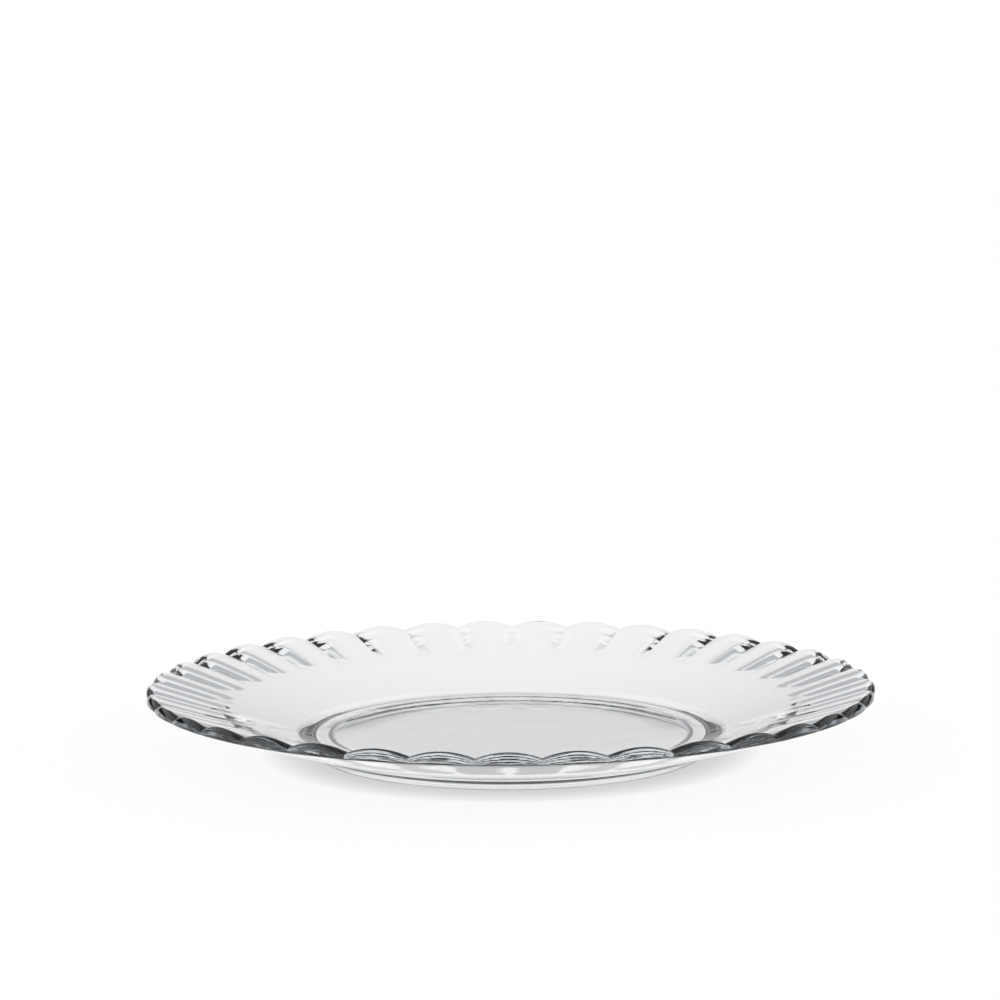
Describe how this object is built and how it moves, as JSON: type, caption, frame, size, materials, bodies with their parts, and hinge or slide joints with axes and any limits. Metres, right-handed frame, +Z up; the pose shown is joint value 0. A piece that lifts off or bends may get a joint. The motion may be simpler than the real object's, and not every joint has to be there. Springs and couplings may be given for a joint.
{
  "type": "scalloped dessert plate",
  "caption": "Clear pressed-glass dessert plate with a flat well, a sloping wall of rounded petals, a scalloped rim and a low foot ring.",
  "frame": {"origin": "centre of the foot ring, on the surface that the plate stands on", "axes": "+Z up along the plate's axis; -Y is the front, where a petal's crest faces the viewer; +X to the right"},
  "size_m": [0.1898, 0.1898, 0.0183],
  "materials": {
    "clear_glass": "clear soda-lime glass, fire-polished, faint green-grey in the thick edge"
  },
  "bodies": {
    "root": {"plate": "clear_glass"}
  },
  "joints": []
}
